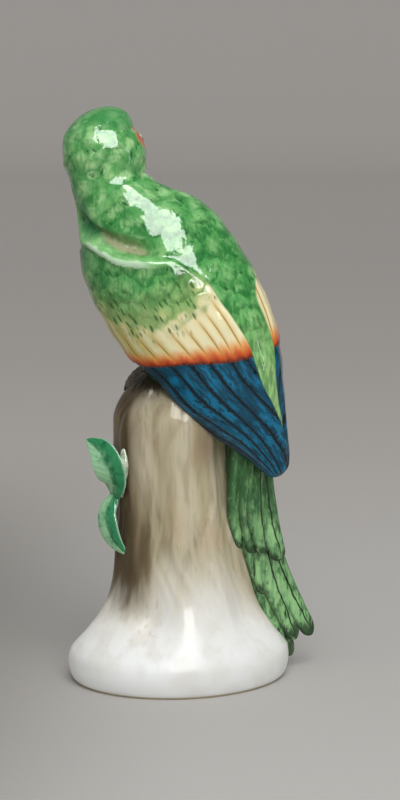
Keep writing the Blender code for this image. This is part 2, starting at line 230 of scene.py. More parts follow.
# The next two are seen by mirrored rays alone
sheen = softbox("softbox_face", SOFTBOX_TURN, SOFTBOX_RISE, 0.94, *SOFTBOX_SIZE, 13.0)
sheen.visible_diffuse = False
strip = softbox("strip_light", 68, 8, 0.55, *STRIP_SIZE, 7.0)
strip.visible_diffuse = False

LENS_MM = 120
SENSOR_MM = 36
camera_data = bpy.data.cameras.new("camera")
camera_data.lens = LENS_MM
camera_data.sensor_width = SENSOR_MM
camera_data.clip_start = 0.01
camera = bpy.data.objects.new("camera", camera_data)
camera.location = CAMERA_PLACE
camera.rotation_euler = (CAMERA_TILT, 0.0, 0.0)
bpy.context.scene.collection.objects.link(camera)
bpy.context.scene.camera = camera
bpy.context.scene.view_settings.view_transform = "Standard"

# Stump. Slip-cast porcelain with modelled bark flutes and roots that run out into a
# thick round base, glazed all over and painted in thin brown washes over the white.
BASE_WIDTH = 0.0622
BASE_RIM_HEIGHT = 0.0085
STUMP_WIDTH = 0.0325
STUMP_HEIGHT = 0.0875
STUMP_SIDES = 300
STUMP_RINGS = 300
COLUMN_CENTRE = (-0.0024, 0.0015)
BASE_OVAL = 0.045
FLUTE_DEPTH = 0.0006
BARK_DEPTH = 0.00022
ROOT_HEIGHT = 0.0011
# Heights as shares of the rim's height with radii as shares of the base's half width
FOOT_PROFILE = ((0.0, 0.945), (0.16, 0.976), (0.45, 0.996), (0.75, 0.995), (1.00, 0.975),
                (1.25, 0.925), (1.55, 0.850), (1.85, 0.780))
# Heights as shares of the stump's height with radii as shares of its width
COLUMN_PROFILE = ((0.215, 0.675), (0.255, 0.630), (0.310, 0.597), (0.370, 0.568), (0.440, 0.543),
                  (0.520, 0.515), (0.600, 0.500), (0.690, 0.497), (0.780, 0.500), (0.850, 0.495),
                  (0.900, 0.440), (0.940, 0.365), (0.970, 0.300), (0.988, 0.240), (0.997, 0.165),
                  (1.0, 0.080))


def curve(stations, t):
    """Smooth curve through rows of numbers spaced evenly over 0 to 1, read at t."""
    rows = np.asarray(stations, float)
    if rows.ndim == 1:
        rows = rows[:, None]
    last = len(rows) - 1
    slopes = np.gradient(rows, axis=0)
    x = np.clip(np.atleast_1d(np.asarray(t, float)), 0.0, 1.0) * last
    i = np.minimum(x.astype(int), last - 1)
    f = (x - i)[:, None]
    a, b, da, db = rows[i], rows[i + 1], slopes[i], slopes[i + 1]
    out = (a * (2 * f ** 3 - 3 * f ** 2 + 1) + da * (f ** 3 - 2 * f ** 2 + f)
           + b * (3 * f ** 2 - 2 * f ** 3) + db * (f ** 3 - f ** 2))
    return out[:, 0] if out.shape[1] == 1 else out


def unit(v):
    v = np.asarray(v, float)
    return v / np.linalg.norm(v, axis=-1, keepdims=True)


def smoothstep(low, high, x):
    f = np.clip((x - low) / (high - low), 0.0, 1.0)
    return f * f * (3 - 2 * f)


def hump(x, centre, width):
    """A smooth rise to 1 at a value, with a width on each side of it."""
    return np.exp(-((x - centre) / width) ** 2)


def skin(name, rings, marks=None):
    """Closed smooth piece through rings of points, and the numbers that its paint reads."""
    count, sides = rings.shape[0], rings.shape[1]
    points = rings.reshape(-1, 3)
    points = np.concatenate([points, rings[:1].mean(axis=1), rings[-1:].mean(axis=1)])
    first, final = count * sides, count * sides + 1
    j = np.arange(sides)
    k = (j + 1) % sides
    i = np.arange(count - 1)[:, None] * sides
    quads = np.stack([i + j, i + k, i + sides + k, i + sides + j], axis=-1).reshape(-1, 4)
    faces = quads.tolist()
    faces += [(first, b, a) for a, b in zip(j.tolist(), k.tolist())]
    top = (count - 1) * sides
    faces += [(final, top + a, top + b) for a, b in zip(j.tolist(), k.tolist())]
    a, b, c, d = (points[quads[:, corner]] for corner in range(4))
    if np.sum(np.cross(b - a, d - a) * (a + c - 2 * points.mean(axis=0))) < 0:
        faces = [face[::-1] for face in faces]
    mesh = bpy.data.meshes.new(name)
    mesh.from_pydata(points.tolist(), [], faces)
    mesh.update()
    mesh.shade_smooth()
    for mark, values in (marks or {}).items():
        ends = np.concatenate([values[:1].mean(axis=1), values[-1:].mean(axis=1)])
        values = np.concatenate([values.reshape(-1, 3), ends])
        layer = mesh.attributes.new(mark, "FLOAT_VECTOR", "POINT")
        layer.data.foreach_set("vector", values.astype(np.float32).ravel())
    piece = bpy.data.objects.new(name, mesh)
    bpy.context.scene.collection.objects.link(piece)
    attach(piece, "root")
    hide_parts("parrot_figurine")
    return piece


def glaze(paint, place, colour, dullness=0.05, ripple=1.0, relief=0.0, shine=0.4):
    """Clear glaze over a painted colour: hard gloss with the faint ripple of fired glaze.

    relief is extra height in millimetres, such as brushed or modelled feathers.
    """
    surface = paint.node_tree.nodes["Principled BSDF"]
    fine = place.noise(1.3, 1.0)
    broad = place.noise(4.5, 1.0)
    height = (fine * 0.012 + broad * 0.13) * ripple + relief
    bump = place.node("ShaderNodeBump", {}, {"Strength": 1.0, "Distance": 0.001, "Height": height})
    paint.node_tree.links.new(colour.out, surface.inputs["Base Color"])
    paint.node_tree.links.new(bump.out, surface.inputs["Normal"])
    worn = place.noise(2.2, 3.0).step(0.35, 0.9) * 0.05 + dullness
    paint.node_tree.links.new(worn.out, surface.inputs["Roughness"])
    surface.inputs["IOR"].default_value = 1.5
    surface.inputs["Specular IOR Level"].default_value = shine


def stump_radius(height, angle):
    """Radius of the stump at a height above its underside, in metres."""
    low = np.array([(h * BASE_RIM_HEIGHT, r * BASE_WIDTH / 2) for h, r in FOOT_PROFILE])
    high = np.array([(h * STUMP_HEIGHT, r * STUMP_WIDTH) for h, r in COLUMN_PROFILE])
    rows = curve(np.concatenate([low, high]), np.linspace(0, 1, 400))
    plain = np.interp(height, rows[:, 0], rows[:, 1])
    share = height / STUMP_HEIGHT
    foot = 1 - smoothstep(0.10, 0.28, share)
    oval = 1 + BASE_OVAL * foot * np.cos(2 * angle - math.pi / 2)
    flute = (np.sin(5 * angle + 1.0) + 0.7 * np.sin(9 * angle + 2.6)) * FLUTE_DEPTH
    flute = flute * smoothstep(0.06, 0.22, share)
    return plain * oval + flute * np.clip(6 * (1 - share), 0, 1)


def stump_centre(height):
    share = smoothstep(0.25, 0.72, height / STUMP_HEIGHT)
    return np.stack([COLUMN_CENTRE[0] * share, COLUMN_CENTRE[1] * share], axis=-1)


low = [h * BASE_RIM_HEIGHT for h, _ in FOOT_PROFILE]
high = [h * STUMP_HEIGHT for h, _ in COLUMN_PROFILE]
heights = curve(low + high, np.linspace(0, 1, STUMP_RINGS))
angle = np.linspace(0, 2 * math.pi, STUMP_SIDES, endpoint=False)
grid_height, grid_angle = np.meshgrid(heights, angle, indexing="ij")
share = grid_height / STUMP_HEIGHT
radius = stump_radius(grid_height, grid_angle)
# Bark ridges that wander as they rise, and roots that open out over the base
wander = grid_angle + 0.16 * np.sin(grid_height * 95 + 2 * grid_angle)
wander = wander + 0.10 * np.sin(grid_height * 210)
bark = np.sin(13 * wander) * 0.5 + np.sin(22 * wander + 1.3) * 0.3
bark = bark + np.sin(35 * wander + 0.4) * 0.2
bark_share = smoothstep(0.12, 0.30, share) * (1 - smoothstep(0.93, 1.0, share))
radius = radius + BARK_DEPTH * bark * bark_share
roots = np.cos(5 * grid_angle + 0.8) + 0.5 * np.cos(3 * grid_angle + 2.0)
radius = radius + ROOT_HEIGHT * roots * hump(share, 0.20, 0.09)
centre = stump_centre(grid_height)
rings = np.stack([centre[..., 0] + radius * np.cos(grid_angle),
                  centre[..., 1] + radius * np.sin(grid_angle), grid_height], axis=-1)
stump = skin("tree_stump", rings, {"bark": np.stack([roots, bark, share], axis=-1)})

bark_paint, place = new_paint("painted_bark")
x, y, z = place.parts()


def read_mark(place, name):
    return place.node("ShaderNodeAttribute", {"attribute_name": name}, {}, 1).parts()


root, ridge, _ = read_mark(place, "bark")
streak = place.stretched(1.0, 1.0, 0.12)
wash = streak.noise(6.0, 1.0, 0.5)
line = streak.noise(1.7, 2.0, 0.5)
hair = place.stretched(1.0, 1.0, 0.05).noise(0.7, 2.0, 0.6)
patches = place.noise(13.0, 1.0)
colour = place.colour(201, 190, 161)
colour = colour.mix(tint(176, 164, 130), wash.step(0.58, 0.34) * 0.75)
colour = colour.mix(tint(192, 166, 134), patches.step(0.48, 0.68) * 0.45)
colour = colour.mix(tint(210, 203, 183), wash.step(0.50, 0.72) * 0.45)
colour = colour.mix(tint(146, 132, 102), line.step(0.50, 0.30) * 0.40)
colour = colour.mix(tint(142, 128, 98), ridge.step(-0.15, -0.85) * 0.30)
colour = colour.mix(tint(214, 206, 184), ridge.step(0.2, 0.9) * 0.22)
colour = colour.mix(tint(118, 104, 78), hair.step(0.42, 0.26) * 0.22)
front_side = (y + x * 0.25).step(6.0, -12.0)
smudge = x.near(-7.5, 8.0) * z.near(44.0, 17.0) + x.near(4.6, 5.0) * z.near(41.0, 9.0) * 0.35
colour = colour.mix(tint(120, 110, 78), smudge * front_side * (line.step(0.62, 0.40) * 0.5 + 0.35))
# Painted shade: the stump's front is darkened just under the wing's lower edge
painted_shade_under_wing = x.step(1.5, 9.0) * (z + (wash - 0.5) * 8.0).near(67.0, 11.0)
colour = colour.mix(tint(122, 98, 76), painted_shade_under_wing * front_side * 0.65)
rear = (y + (wash - 0.5) * 14.0).step(-2.0, 10.0)
left = (x + (wash - 0.5) * 12.0).step(-4.0, -14.5) * z.step(12.0, 26.0) * (1.0 - rear * 0.55)
colour = colour.mix(tint(104, 88, 64), left * 0.9)
colour = colour.mix(tint(74, 60, 42), left * wash.step(0.58, 0.40) * 0.7)
# Painted shade: the stump's top at the left, under the bird, darkens towards near black
painted_shoulder_shade = (z + (patches - 0.5) * 12.0).step(74.0, 85.0) * x.step(4.0, -9.0)
colour = colour.mix(tint(64, 52, 38), painted_shoulder_shade * 0.75)
painted_top_shade = (z + (line - 0.5) * 5.0).step(80.5, 84.0) * x.step(8.0, -2.0)
colour = colour.mix(tint(22, 19, 14), painted_top_shade * 0.85)
fade_from = 28.0 + front_side * 13.0
foot_edge = z + (wash - 0.5) * 15.0 + (line - 0.5) * 9.0 + left * 13.0
colour = colour.mix(tint(232, 229, 219), foot_edge.step(fade_from, fade_from - 19.0))
colour = colour.mix(tint(243, 244, 243), foot_edge.step(fade_from - 11.0, 9.0))
film = wash.step(0.54, 0.36) * 0.6 + line.step(0.50, 0.32) * 0.3
colour = colour.mix(tint(214, 206, 190), film * z.step(3.0, 12.0) * z.step(32.0, 20.0) * 0.55)
rim_shade = patches.step(0.46, 0.62) * z.step(13.0, 7.0)
colour = colour.mix(tint(232, 230, 224), rim_shade * 0.6)
gully = (root + (wash - 0.5) * 0.6).step(-0.7, -1.4) * z.step(11.0, 20.0) * z.step(38.0, 26.0)
colour = colour.mix(tint(176, 160, 130), gully * (0.25 + line.step(0.5, 0.35) * 0.35))
colour = colour.mix(tint(196, 182, 154), z.step(0.8, 0.4))
foot_dullness = z.step(24.0, 14.0) * 0.22 + 0.09
glaze(bark_paint, place, colour, dullness=foot_dullness, ripple=0.8, shine=0.17)
stump.data.materials.append(bark_paint)

# Parrot. The body, neck and head with the wings folded over the back, cast in one and
# painted by hand: green dabs, a yellow and red wing band, and blue flight feathers.
BODY_LENGTH = 0.1170
BODY_WIDTH = 0.0426
BODY_DEPTH = 0.0370
HEAD_WIDTH = 0.0236
HEAD_DEPTH = 0.0250
WING_STEP = 0.0013
CROWN_RINGS = 44
MIDDLE_RINGS = 276
TIP_RINGS = 12
BODY_SIDES = 298
CROWN_SHARE = 0.120
TIP_SHARE = 0.030
BACK_ANGLE = math.radians(52)
WING_INNER = 36
WING_START = 0.428
WING_SLANT = 0.0016
CROWN_LEAN = 0.38
NAPE_DEPTH = 0.0110
NAPE_HOLLOW = 0.0034
GROOVE_DEPTH = 0.0024
NOTCH_DEPTH = 0.0016
LIP_HEIGHT = 0.0009
YELLOW_LINE_DEPTH = 0.00016
BLUE_SINK = 0.00030
BLUE_LINE_DEPTH = 0.00016
UNEVENNESS = 0.00010
# Millimetres along the painted wing for the whole of t
PLUME_LENGTH = 114
STAND = np.array([0.0, 0.0, STUMP_HEIGHT])
# Centre line from crown to wing tips, as shares of the body's length
BODY_LINE = ((-0.1810, 0.066, 0.6190), (-0.1870, 0.060, 0.5540), (-0.1750, 0.050, 0.4960),
             (-0.1625, 0.036, 0.4260), (-0.1130, 0.024, 0.3580), (-0.0650, 0.012, 0.2800),
             (-0.0200, 0.002, 0.2080), (0.0300, -0.010, 0.1300), (0.0760, -0.024, 0.0570),
             (0.1170, -0.038, -0.0220), (0.1540, -0.044, -0.0900), (0.1890, -0.043, -0.1520),
             (0.2190, -0.039, -0.2080), (0.2400, -0.036, -0.2560))
HEAD_SHARES = (0.475, 0.455, 0.495)
BODY_SHARES = (0.2490, 0.4020, 0.4860, 0.5080, 0.5020, 0.4620, 0.3980, 0.3080, 0.2200, 0.1450, 0.075)
SQUARENESS = (2.1, 2.3, 2.3, 2.2, 2.2, 2.2, 2.2, 2.3, 2.5, 2.8, 2.8, 2.6, 2.4, 2.2)


def frames(path, facing):
    """Along, across and outward directions of a path whose outward side faces one way."""
    along = unit(np.gradient(path, axis=0))
    outward = np.asarray(facing, float) - along * (along @ np.asarray(facing, float))[:, None]
    outward = unit(outward)
    return along, np.cross(outward, along), outward


crown = CROWN_SHARE * (1 - np.cos(np.linspace(0.05, math.pi / 2, CROWN_RINGS)))
tip = 1 - TIP_SHARE * (1 - np.cos(np.linspace(math.pi / 2, 0.12, TIP_RINGS)))[1:]
# More rings where the wings' front edge stands up from the neck
spread = np.linspace(CROWN_SHARE, 1 - TIP_SHARE, 4000)
weight = np.cumsum(1 + 3.5 * hump(spread, 0.3816, 0.022))
weight = (weight - weight[0]) / (weight[-1] - weight[0])
middle = np.interp(np.linspace(0, 1, MIDDLE_RINGS), weight, spread)[1:]
ring_t = np.concatenate([crown, middle, tip])
angle = np.linspace(0, 2 * math.pi, BODY_SIDES, endpoint=False)
t, angle = np.meshgrid(ring_t, angle, indexing="ij")
side = np.degrees((BACK_ANGLE - angle + math.pi) % (2 * math.pi) - math.pi)
lean = WING_SLANT * (np.clip(np.abs(side), WING_INNER, 125) - 65)
t = t - lean * smoothstep(0.05, 0.36, t) * (1 - smoothstep(0.46, 0.90, t))
t, angle = np.clip(t, 0.0001, 0.9999).ravel(), angle.ravel()

# Where each point lies on the plumage: degrees from the back, and distances from edges
turned = BACK_ANGLE + math.radians(9) * smoothstep(0.70, 0.86, t) - angle
side = np.degrees((turned + math.pi) % (2 * math.pi) - math.pi)
away = np.abs(side)
inner = WING_INNER - 14 * smoothstep(0.42, 0.52, t) - 6 * smoothstep(0.52, 0.68, t)
inner = inner - 14 * smoothstep(0.72, 0.93, t)
outer = 137 - 18 * smoothstep(0.50, 0.62, t)
start = WING_START - WING_SLANT * (away - WING_INNER) - 0.030 * smoothstep(70, 108, away)
from_edge = (t - start) * 1000 * BODY_LENGTH * 0.975
across = smoothstep(inner - 2.5, inner + 2.5, away) * (1 - smoothstep(outer - 5, outer + 5, away))
cover = across * smoothstep(-0.7, 1.5, from_edge)
# On the far side the painted wing starts further out and lower down
far_inner = 60 - 48 * smoothstep(0.44, 0.60, t) - 10 * smoothstep(0.66, 0.80, t)
painted_inner = np.where(side < 0, far_inner, inner)
painted = smoothstep(painted_inner - 1.2, painted_inner + 1.2, away)
painted = painted * (1 - smoothstep(outer - 5, outer + 5, away))
blue_edge = 0.679 - 7.6e-6 * away ** 2
green_edge = 0.550 - np.where(away > 52, 2.1e-5, 3.5e-5) * (away - 52) ** 2
YELLOW_LINES = (135, 123, 111, 97, 86, 72, 60, 47, 38, 28, 18, 8)
drop = 4 * smoothstep(0.52, 0.68, t)
yellow_lane = np.interp(away + drop, YELLOW_LINES[::-1], np.arange(len(YELLOW_LINES))[::-1])
past = np.clip(t - blue_edge, 0, None)
blue_lines = [s - turn * past - curl * past ** 3 for s, turn, curl in
              zip((106, 90, 75, 58, 38, 23, 12), (66, 72, 78, 100, 105, 145, 120),
                  (40, 60, 230, 1050, 3500, 4000, 5000))]
blue_lane = (blue_lines[0] - away).clip(None, 0) / 16
for a, b in zip(blue_lines, blue_lines[1:]):
    blue_lane = blue_lane + np.clip((a - away) / np.maximum(a - b, 1.0), 0, 1)
blue_lane = blue_lane + (blue_lines[-1] - away).clip(0, None) / 12

# The shape itself, with the modelled relief of the wings on it
line = curve(BODY_LINE, t) * BODY_LENGTH + STAND
fine_line = curve(BODY_LINE, np.linspace(0, 1, 400)) * BODY_LENGTH + STAND
_, fine_across, fine_outward = frames(fine_line, (0, -1, 0))
even = np.linspace(0, 1, 400)
beside = np.stack([np.interp(t, even, fine_across[:, c]) for c in range(3)], axis=1)
outward = np.stack([np.interp(t, even, fine_outward[:, c]) for c in range(3)], axis=1)
widths = [s * HEAD_WIDTH for s in HEAD_SHARES] + [s * BODY_WIDTH for s in BODY_SHARES]
depths = [0.5 * HEAD_DEPTH for _ in HEAD_SHARES] + [s * BODY_DEPTH for s in BODY_SHARES]
depths[3] = NAPE_DEPTH
half_width, half_depth = curve(widths, t), curve(depths, t)
cap = np.sqrt(np.clip(1 - np.clip(1 - t / CROWN_SHARE, 0, 1) ** 2, 0, 1))
cap = cap * np.sqrt(np.clip(1 - np.clip(1 - (1 - t) / TIP_SHARE, 0, 1) ** 2, 0, 1))
power = curve(SQUARENESS, t)
c, s = np.cos(angle), np.sin(angle)
radius = (np.abs(c / half_depth) ** power + np.abs(s / half_width) ** power) ** (-1 / power)
fade = 0.40 + 0.22 * smoothstep(132, 155, away)
throat = smoothstep(98, 116, away) * (1 - smoothstep(0.34, fade, t))
flush = smoothstep(0, -25, side) * (1 - smoothstep(-60, -85, side))
radius = radius - WING_STEP * (1 - cover) * (1 - throat) * (1 - flush) * smoothstep(0.24, 0.33, t)
edge = np.where(side > 0, smoothstep(34, 62, away), smoothstep(62, 90, away))
hollow = edge * (1 - smoothstep(103, 120, away)) * hump(from_edge, -2.3, 2.1) * (1 - cover)
notch = smoothstep(98, 110, away) * (1 - smoothstep(128, 146, away)) * hump(from_edge, -1.1, 1.1)
radius = radius - GROOVE_DEPTH * hollow - NOTCH_DEPTH * notch * (1 - cover)
radius = radius + LIP_HEIGHT * edge * across * hump(from_edge, 1.9, 1.7)
radius = radius - NAPE_HOLLOW * hump(t, 0.291, 0.037) * smoothstep(0.4, 1.0, s)
yellow_part = smoothstep(0.02, 0.05, t - green_edge) * (1 - smoothstep(0.0, 0.004, t - blue_edge))
yellow_groove = hump((yellow_lane + 0.5) % 1 - 0.5, 0, 0.11)
radius = radius - YELLOW_LINE_DEPTH * yellow_groove * yellow_part * across
blue_part = smoothstep(0.0, 0.004, t - blue_edge) * across
blue_groove = hump((blue_lane + 0.5) % 1 - 0.5, 0, 0.075)
radius = radius - (BLUE_SINK + BLUE_LINE_DEPTH * blue_groove) * blue_part
waves = np.sin(t * 61 + 3 * angle) * np.sin(t * 37 - 2 * angle + 1.0)
waves = waves + 0.6 * np.sin(t * 95 + 5 * angle)
radius = radius + UNEVENNESS * waves * smoothstep(0.02, 0.1, t) * (1 - smoothstep(0.9, 0.97, t))
radius = radius * cap
points = line + outward * (radius * c)[:, None] + beside * (radius * s)[:, None]

# The crown leans towards +X above the brow
brow_height = STAND[2] + 0.553 * BODY_LENGTH
points[:, 0] += CROWN_LEAN * np.clip(points[:, 2] - brow_height, 0, None)

# How far each point lies towards the face, and from the nearer eye
FACE = unit((0.25, 0.96, -0.10))
EYE_WIDTH = 0.0042
head_centre = curve(BODY_LINE, 0.115)[0] * BODY_LENGTH + STAND


def eye_place(turn_deg):
    """Middle of an eye on the side of the head, turned from the way that it looks."""
    turn = math.radians(turn_deg)
    way = unit((FACE[0] * math.cos(turn) - FACE[1] * math.sin(turn),
                FACE[0] * math.sin(turn) + FACE[1] * math.cos(turn), 0.12))
    reach = 1 / math.hypot(way[0] / (HEAD_WIDTH / 2), way[1] / (HEAD_DEPTH / 2))
    return head_centre + way * (reach - EYE_WIDTH * 0.25)


EYES = [eye_place(60), eye_place(-60)]
way = unit(points - head_centre)
cheek = hump(np.linalg.norm(way - unit((0.90, -0.36, 0.26)), axis=1), 0, 0.34)
facing = way @ FACE + 0.75 * cheek - 2.0 * smoothstep(0.17, 0.26, t)
eye_gap = np.min([np.linalg.norm(points - eye, axis=1) for eye in EYES], axis=0) * 1000
round_mm = np.radians(side) * curve(np.add(widths, depths) / 2, t) * 1000
along_mm = t * BODY_LENGTH * 1000
shape = (len(ring_t), BODY_SIDES, 3)


def triple(*values):
    return np.stack(values, axis=-1).reshape(shape)


parrot = skin("parrot_body", points.reshape(shape), {
    "plume": triple(round_mm, along_mm, away),
    "wing": triple(yellow_lane, blue_lane, painted * smoothstep(-1.0, 0.2, from_edge)),
    "band": triple((t - blue_edge) * PLUME_LENGTH, (t - green_edge) * PLUME_LENGTH, from_edge),
    "face": triple(facing, way[:, 2], eye_gap)})

plumage, place = new_paint("painted_plumage")
around, along, away = read_mark(place, "plume")
yellow_lane, blue_lane, covered = read_mark(place, "wing")
from_blue, from_green, from_front = read_mark(place, "band")
facing, rise, eye_gap = read_mark(place, "face")
cloud = place.noise(7.0, 2.0)
blotch = place.noise(2.6, 3.0, 0.55)
speck = place.noise(0.8, 2.0, 0.6)
stroke = place.stretched(1.0, 1.0, 0.28).noise(0.95, 2.0, 0.5)
# Each dab of paint is a rounded feather about 5 mm across, darker along its lower edge
loose = place.warped(3.0, 3.2)
feather_gap, feather_way = loose.stretched(0.20, 0.20, 0.18).cells(0.95)
below = feather_way.dot(0.35, 0.0, -0.93)
dab = (feather_gap + (blotch - 0.5) * 0.6).step(0.60, 0.10) * below.step(0.46, 0.02)
rim = (feather_gap + (blotch - 0.5) * 0.5).step(0.28, 0.60) * below.step(-0.12, 0.26)
small_gap, small_way = loose.stretched(0.30, 0.30, 0.27).cells(1.0)
small_below = small_way.dot(0.35, 0.0, -0.93)
small_dab = (small_gap + (blotch - 0.5) * 0.5).step(0.62, 0.26) * small_below.step(0.42, 0.02)
# Short upright strokes, each a few tenths of a millimetre wide
dash_place = place.vector(around * 0.84 + (blotch - 0.5) * 0.6, along * 0.32, 0.0)
dash_gap, _ = dash_place.cells(0.85)
dash = dash_gap.step(0.44, 0.22)
tick = rim * dash

# Green feathers of the back and the upper wing
head_part = along.step(50.0, 26.0)
green = place.colour(90, 168, 92)
green = green.mix(tint(56, 136, 66), cloud.step(0.58, 0.38) * 0.75)
pale_dabs = dab * 0.70 + blotch.step(0.50, 0.70) * 0.30
green = green.mix(tint(166, 218, 146), pale_dabs * (cloud * 0.9 + 0.30))
green = green.mix(tint(128, 192, 124), head_part * 0.20)
green = green.mix(tint(176, 222, 156), small_dab * (head_part * 0.62 + 0.15))
green = green.mix(tint(36, 112, 52), rim * (0.62 - head_part * 0.35))
green = green.mix(tint(38, 112, 54), blotch.step(0.46, 0.32) * 0.55)
green = green.mix(tint(30, 88, 44), tick * 0.8)
green = green.mix(tint(36, 106, 52), stroke.step(0.46, 0.32) * (0.50 - head_part * 0.28))
green = green.mix(tint(148, 210, 132), stroke.step(0.56, 0.72) * 0.36)
green = green.mix(tint(50, 136, 72), along.step(12.0, 4.0) * 0.65)
ridge_line = away.step(30.0, 8.0) * along.step(66.0, 84.0)
green = green.mix(tint(172, 214, 138), ridge_line * (0.35 + stroke.step(0.42, 0.62) * 0.5))
throat = (along + (blotch - 0.5) * 12.0).near(33.0, 17.0) * away.step(72.0, 112.0)
green = green.mix(tint(54, 112, 78), throat * (0.75 - dab * 0.35))
breast = away.step(118.0, 150.0) * along.step(22.0, 32.0)
green = green.mix(tint(140, 192, 92), breast * (dab * 0.25 + 0.5))

# Yellow wing coverts with brown lines between, and orange tips
yellow_line = abs(yellow_lane - yellow_lane.maths("ROUND", yellow_lane))
band = from_green + (blotch - 0.5) * 7.0 + dab * 2.5
yellow = place.colour(247, 235, 186)
yellow = yellow.mix(tint(196, 188, 98), away.step(64.0, 112.0) * 0.85)
yellow = yellow.mix(tint(250, 244, 208), yellow_line.step(0.20, 0.46) * 0.5)
soft_line = yellow_line.step(0.26, 0.02) * from_green.step(-1.0, 5.0)
yellow = yellow.mix(tint(222, 184, 96), soft_line * 0.6)
brown_line = yellow_line.step(0.07, 0.02) * from_green.step(0.5, 7.0)
yellow = yellow.mix(tint(146, 98, 40), brown_line * 0.75)
tip_from = from_blue + (yellow_line - 0.25) * 1.8 + (stroke - 0.5) * 1.2
yellow = yellow.mix(tint(238, 152, 70), tip_from.step(-5.2, -2.4) * 0.85)
yellow = yellow.mix(tint(208, 78, 32), tip_from.step(-3.3, -1.1) * 0.92)
yellow = yellow.mix(tint(132, 48, 26), tip_from.step(-1.4, -0.2) * 0.85)
yellow = yellow.mix(tint(36, 22, 20), from_blue.near(0.0, 1.1) * (0.40 + dash * 0.55))

# Blue flight feathers with black lines between
blue_line = abs(blue_lane - blue_lane.maths("ROUND", blue_lane))
strand = place.vector(blue_lane * 4.5 + (blotch - 0.5) * 1.2, along * 0.24, 0.0)
strand = strand.noise(1.0, 3.0, 0.55)
barb = place.vector(blue_lane * 4.0, along * 1.1 + blue_line * 4.0, 4.0)
barb = barb.noise(1.0, 2.0, 0.55)
blue = place.colour(0, 74, 100)
bright_strand = (strand + (cloud - 0.5) * 1.2).step(0.40, 0.68) * blue_line.step(0.02, 0.26)
blue = blue.mix(tint(0, 120, 160), bright_strand * 0.9)
pale_strand = strand.step(0.58, 0.74) * blue_line.step(0.16, 0.40)
blue = blue.mix(tint(78, 150, 172), pale_strand * 0.35)
blue = blue.mix(tint(0, 46, 64), strand.step(0.49, 0.36) * 0.5)
black_barb = (barb + (blue_line - 0.25) * 0.6 + (0.5 - cloud) * 0.4).step(0.41, 0.32)
blue = blue.mix(tint(0, 16, 22), black_barb * 0.85)
blue = blue.mix(tint(2, 36, 48), blue_line.step(0.22, 0.05) * 0.55)
blue = blue.mix(tint(3, 8, 10), blue_line.step(0.062, 0.030))
blue = blue.mix(tint(8, 30, 40), away.step(96.0, 116.0) * 0.7)

# The three colours of the wing, with short green ticks over the edge of the yellow
yellowing = (from_green + (blotch - 0.5) * 8.0).step(-12.0, 0.5)
wing = green.mix(tint(196, 204, 134), yellowing * (0.45 + dab * 0.55))
wing = wing.mix(yellow, band.step(-1.5, 3.0))
border = (from_green + (blotch - 0.5) * 5.0).step(4.5, 1.0) * from_green.step(-15.0, -5.0)
wing = wing.mix(tint(50, 100, 46), dash * cloud.step(0.66, 0.52) * border * 0.85)
wing = wing.mix(blue, from_blue.step(-0.15, 0.15))
colour = green.mix(wing, covered)
# The groove in front of the wing, a lighter green band along the wing's front edge, and a painted
# highlight along its crest
groove = away.near(72.0, 30.0).step(0.0, 0.7) * (1.0 - covered)
depth_in = from_front + (stroke - 0.5) * 3.0 + (blotch - 0.5) * 2.0
colour = colour.mix(tint(124, 146, 96), depth_in.step(-5.8, -3.0) * groove * 0.75)
colour = colour.mix(tint(190, 176, 150), depth_in.step(-3.0, -0.9) * groove * 0.60)
lip = away.step(30.0, 44.0) * covered
colour = colour.mix(tint(150, 212, 134), from_front.near(1.4, 2.2) * lip * 0.65)
# Painted highlight: a near-white band along the crest of the wing's front edge
painted_lip_highlight = (from_front + (blotch - 0.5) * 1.6).near(2.1, 1.5).step(0.1, 0.6)
painted_lip_highlight = painted_lip_highlight * lip * away.near(80.0, 34.0).step(0.0, 0.5)
colour = colour.mix(tint(208, 234, 204), painted_lip_highlight * 0.8)
scuff = speck.step(0.50, 0.40) * from_front.near(3.4, 1.0) * away.near(82.0, 5.0)
colour = colour.mix(tint(26, 36, 26), scuff)

# Face: orange brow and cheeks, and a bare pale ring round each eye
brow = facing - 0.12 - (rise - 0.32) * (rise - 0.32) * 1.4 + (blotch - 0.5) * 0.16
colour = colour.mix(tint(206, 124, 70), brow.step(0.0, 0.10))
colour = colour.mix(tint(178, 66, 42), brow.step(0.16, 0.45) * 0.8)
colour = colour.mix(tint(232, 222, 196), eye_gap.step(3.5, 2.9))
colour = colour.mix(tint(60, 50, 40), eye_gap.step(2.5, 2.2))
glaze(plumage, place, colour, relief=dab * 0.10 + small_dab * 0.03)
parrot.data.materials.append(plumage)

# Tail. Eleven feathers in three layers hang beside the stump, cast in one with it, each
# with a dark rounded tip and thin black strokes drawn down it.
TAIL_TIP_HEIGHT = 0.0035
TAIL_FEATHER_WIDTH = 0.0080
TAIL_FEATHER_THICKNESS = 0.0034
TAIL_ROOT_SHIFT = (0.0005, 0.0035, 0.0)
TAIL_FACING = (0.62, -0.78, 0.10)
# Rows of where a feather ends as x, y and z shares of the tail's drop, its bow towards
# -X, its place across the root in widths and its lift in thicknesses
TAIL_FEATHERS = (
    (-0.040, -0.010, -0.530, 0.015, -0.42, 0.32), (0.014, 0.000, -0.553, 0.024, 0.00, 0.45),
    (0.055, 0.000, -0.553, 0.036, 0.38, 0.34), (0.120, 0.035, -0.589, 0.042, 0.55, 0.05),
    (0.000, 0.045, -0.723, 0.040, -0.34, 0.02), (0.062, 0.050, -0.730, 0.052, 0.15, 0.14),
    (0.168, 0.122, -1.000, 0.072, -0.10, -0.32), (0.186, 0.112, -0.930, 0.074, 0.18, -0.18),
    (0.252, 0.150, -0.920, 0.092, 0.42, -0.36), (-0.060, 0.030, -0.210, 0.000, -0.45, -0.10),
    (-0.050, 0.070, -0.640, 0.010, -0.42, -0.95))


